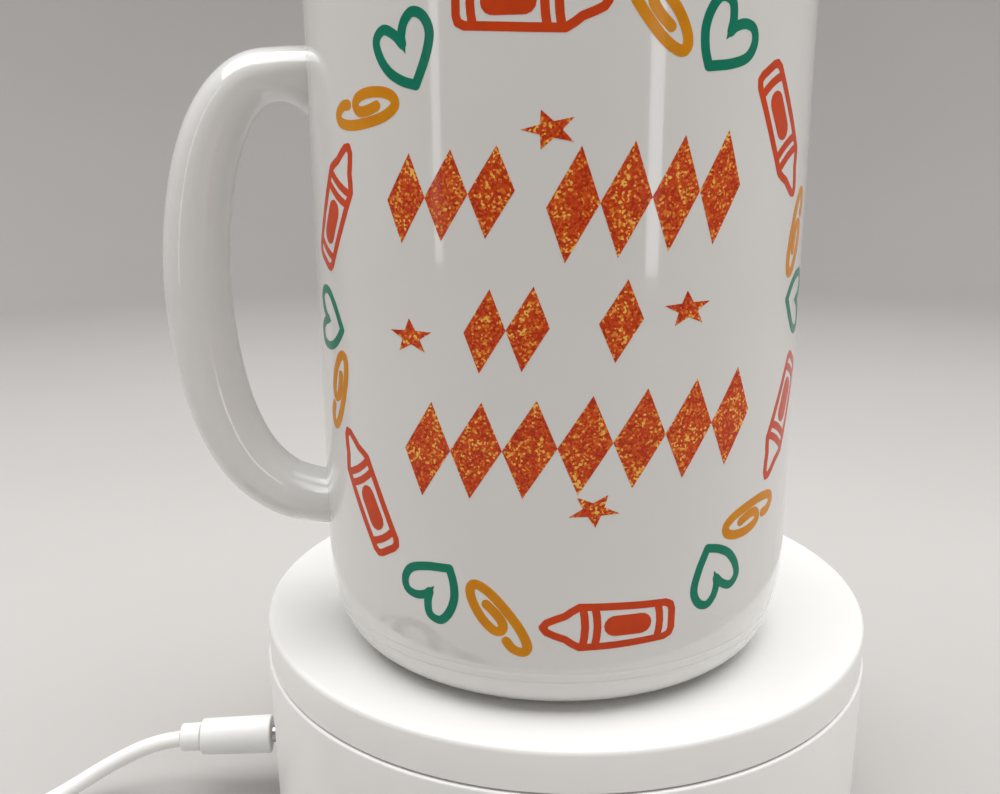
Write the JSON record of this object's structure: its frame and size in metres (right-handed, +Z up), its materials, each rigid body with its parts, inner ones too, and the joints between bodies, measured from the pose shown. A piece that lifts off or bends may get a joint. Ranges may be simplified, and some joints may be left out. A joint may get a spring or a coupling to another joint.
{
  "type": "mug on a motorised display turntable",
  "caption": "Glazed straight mug with a side handle, standing on a low round motor-driven display turntable with a plugged-in power lead.",
  "frame": {"origin": "on the turntable's axis, at the surface that its feet stand on; the raised pad in the middle of the bottom cover is 0.6 mm above it", "axes": "+Z up along the turntable's axis; -Y towards the front; -X towards the mug's handle and the power jack"},
  "size_m": [0.1794, 0.1526, 0.165],
  "materials": {
    "white_shell": "satin",
    "white_glaze": "gloss",
    "white_cable": "satin",
    "black_rubber": "matte",
    "natural_nylon": "satin",
    "black_plastic": "satin",
    "steel": "satin",
    "brass": "satin",
    "copper_winding": "satin",
    "ferrite": "matte",
    "green_board": "satin",
    "red_wire": "satin",
    "black_wire": "satin"
  },
  "bodies": {
    "base": {"base_housing": "white_shell", "bottom_cover": "white_shell", "foot_1": "black_rubber", "foot_2": "black_rubber", "foot_3": "black_rubber", "foot_4": "black_rubber", "cover_screw_1": "steel", "cover_screw_2": "steel", "cover_screw_3": "steel", "deck_bush": "brass", "lower_bush": "brass", "gear_plate": "steel", "plate_screw_1": "steel", "plate_screw_2": "steel", "plate_screw_3": "steel", "gear_pin_1": "steel", "gear_pin_2": "steel", "motor_can": "steel", "motor_end_cap": "black_plastic", "motor_magnet": "ferrite", "motor_screw_1": "steel", "motor_screw_2": "steel", "roller_axle_1": "steel", "roller_axle_2": "steel", "roller_axle_3": "steel", "circuit_board": "green_board", "board_screw_1": "steel", "board_screw_2": "steel", "driver_chip": "black_plastic", "capacitor": "black_plastic", "motor_connector": "natural_nylon", "power_jack": "black_plastic", "jack_pin": "brass", "switch_body": "steel", "motor_wire_red": "red_wire", "motor_wire_black": "black_wire", "switch_wire_red": "red_wire", "switch_wire_black": "black_wire", "cable_lead": "white_cable", "cable_coil": "white_cable", "cable_tail": "white_cable", "jack_plug_tip": "steel", "jack_plug_body": "white_cable", "jack_plug_collar": "white_cable", "usb_plug_body": "white_cable", "usb_plug_shell": "steel"},
    "turning_top": {"platter": "white_shell", "spindle": "steel", "output_gear": "natural_nylon"},
    "mug_body": {"mug": "white_glaze"},
    "idler_2": {"compound_gear_2": "natural_nylon"},
    "idler_1": {"compound_gear_1": "natural_nylon"},
    "rotor": {"motor_armature": "copper_winding", "motor_shaft": "steel", "motor_pinion": "brass"},
    "support_roller_1": {"roller_1": "natural_nylon"},
    "support_roller_2": {"roller_2": "natural_nylon"},
    "support_roller_3": {"roller_3": "natural_nylon"},
    "slider": {"switch_slider": "black_plastic"}
  },
  "joints": [
    {"name": "platter_spin", "type": "hinge", "parent": "base", "child": "turning_top", "pos_m": [0, 0, 0.04], "axis": [0, 0, 1], "continuous": true},
    {"name": "idler_2_spin", "type": "hinge", "parent": "base", "child": "idler_2", "pos_m": [0.00855, 0.02349, 0.026], "axis": [0, 0, 1], "continuous": true},
    {"name": "idler_1_spin", "type": "hinge", "parent": "base", "child": "idler_1", "pos_m": [0.0251, 0.02057, 0.022], "axis": [0, 0, 1], "continuous": true},
    {"name": "rotor_spin", "type": "hinge", "parent": "base", "child": "rotor", "pos_m": [0.02801, 0.00403, 0.012], "axis": [0, 0, 1], "continuous": true},
    {"name": "roller_1_spin", "type": "hinge", "parent": "base", "child": "support_roller_1", "pos_m": [0, 0.045, 0.0377], "axis": [0, 1, 0], "continuous": true},
    {"name": "roller_2_spin", "type": "hinge", "parent": "base", "child": "support_roller_2", "pos_m": [-0.03897, -0.0225, 0.0377], "axis": [-0.866, -0.5, 0], "continuous": true},
    {"name": "roller_3_spin", "type": "hinge", "parent": "base", "child": "support_roller_3", "pos_m": [0.03897, -0.0225, 0.0377], "axis": [0.866, -0.5, 0], "continuous": true},
    {"name": "power_switch", "type": "slide", "parent": "base", "child": "slider", "axis": [1, 0, 0], "range_m": [-0.002, 0.002]},
    {"name": "mug_lift", "type": "slide", "parent": "turning_top", "child": "mug_body", "axis": [0, 0, 1], "range_m": [0, 0.15]}
  ],
  "couplings": [
    {"joint": "idler_2_spin", "follows": "platter_spin", "ratio": -4},
    {"joint": "idler_1_spin", "follows": "platter_spin", "ratio": 12.8},
    {"joint": "rotor_spin", "follows": "platter_spin", "ratio": -40.96},
    {"joint": "roller_1_spin", "follows": "platter_spin", "ratio": -11.25},
    {"joint": "roller_2_spin", "follows": "platter_spin", "ratio": -11.25},
    {"joint": "roller_3_spin", "follows": "platter_spin", "ratio": -11.25}
  ]
}
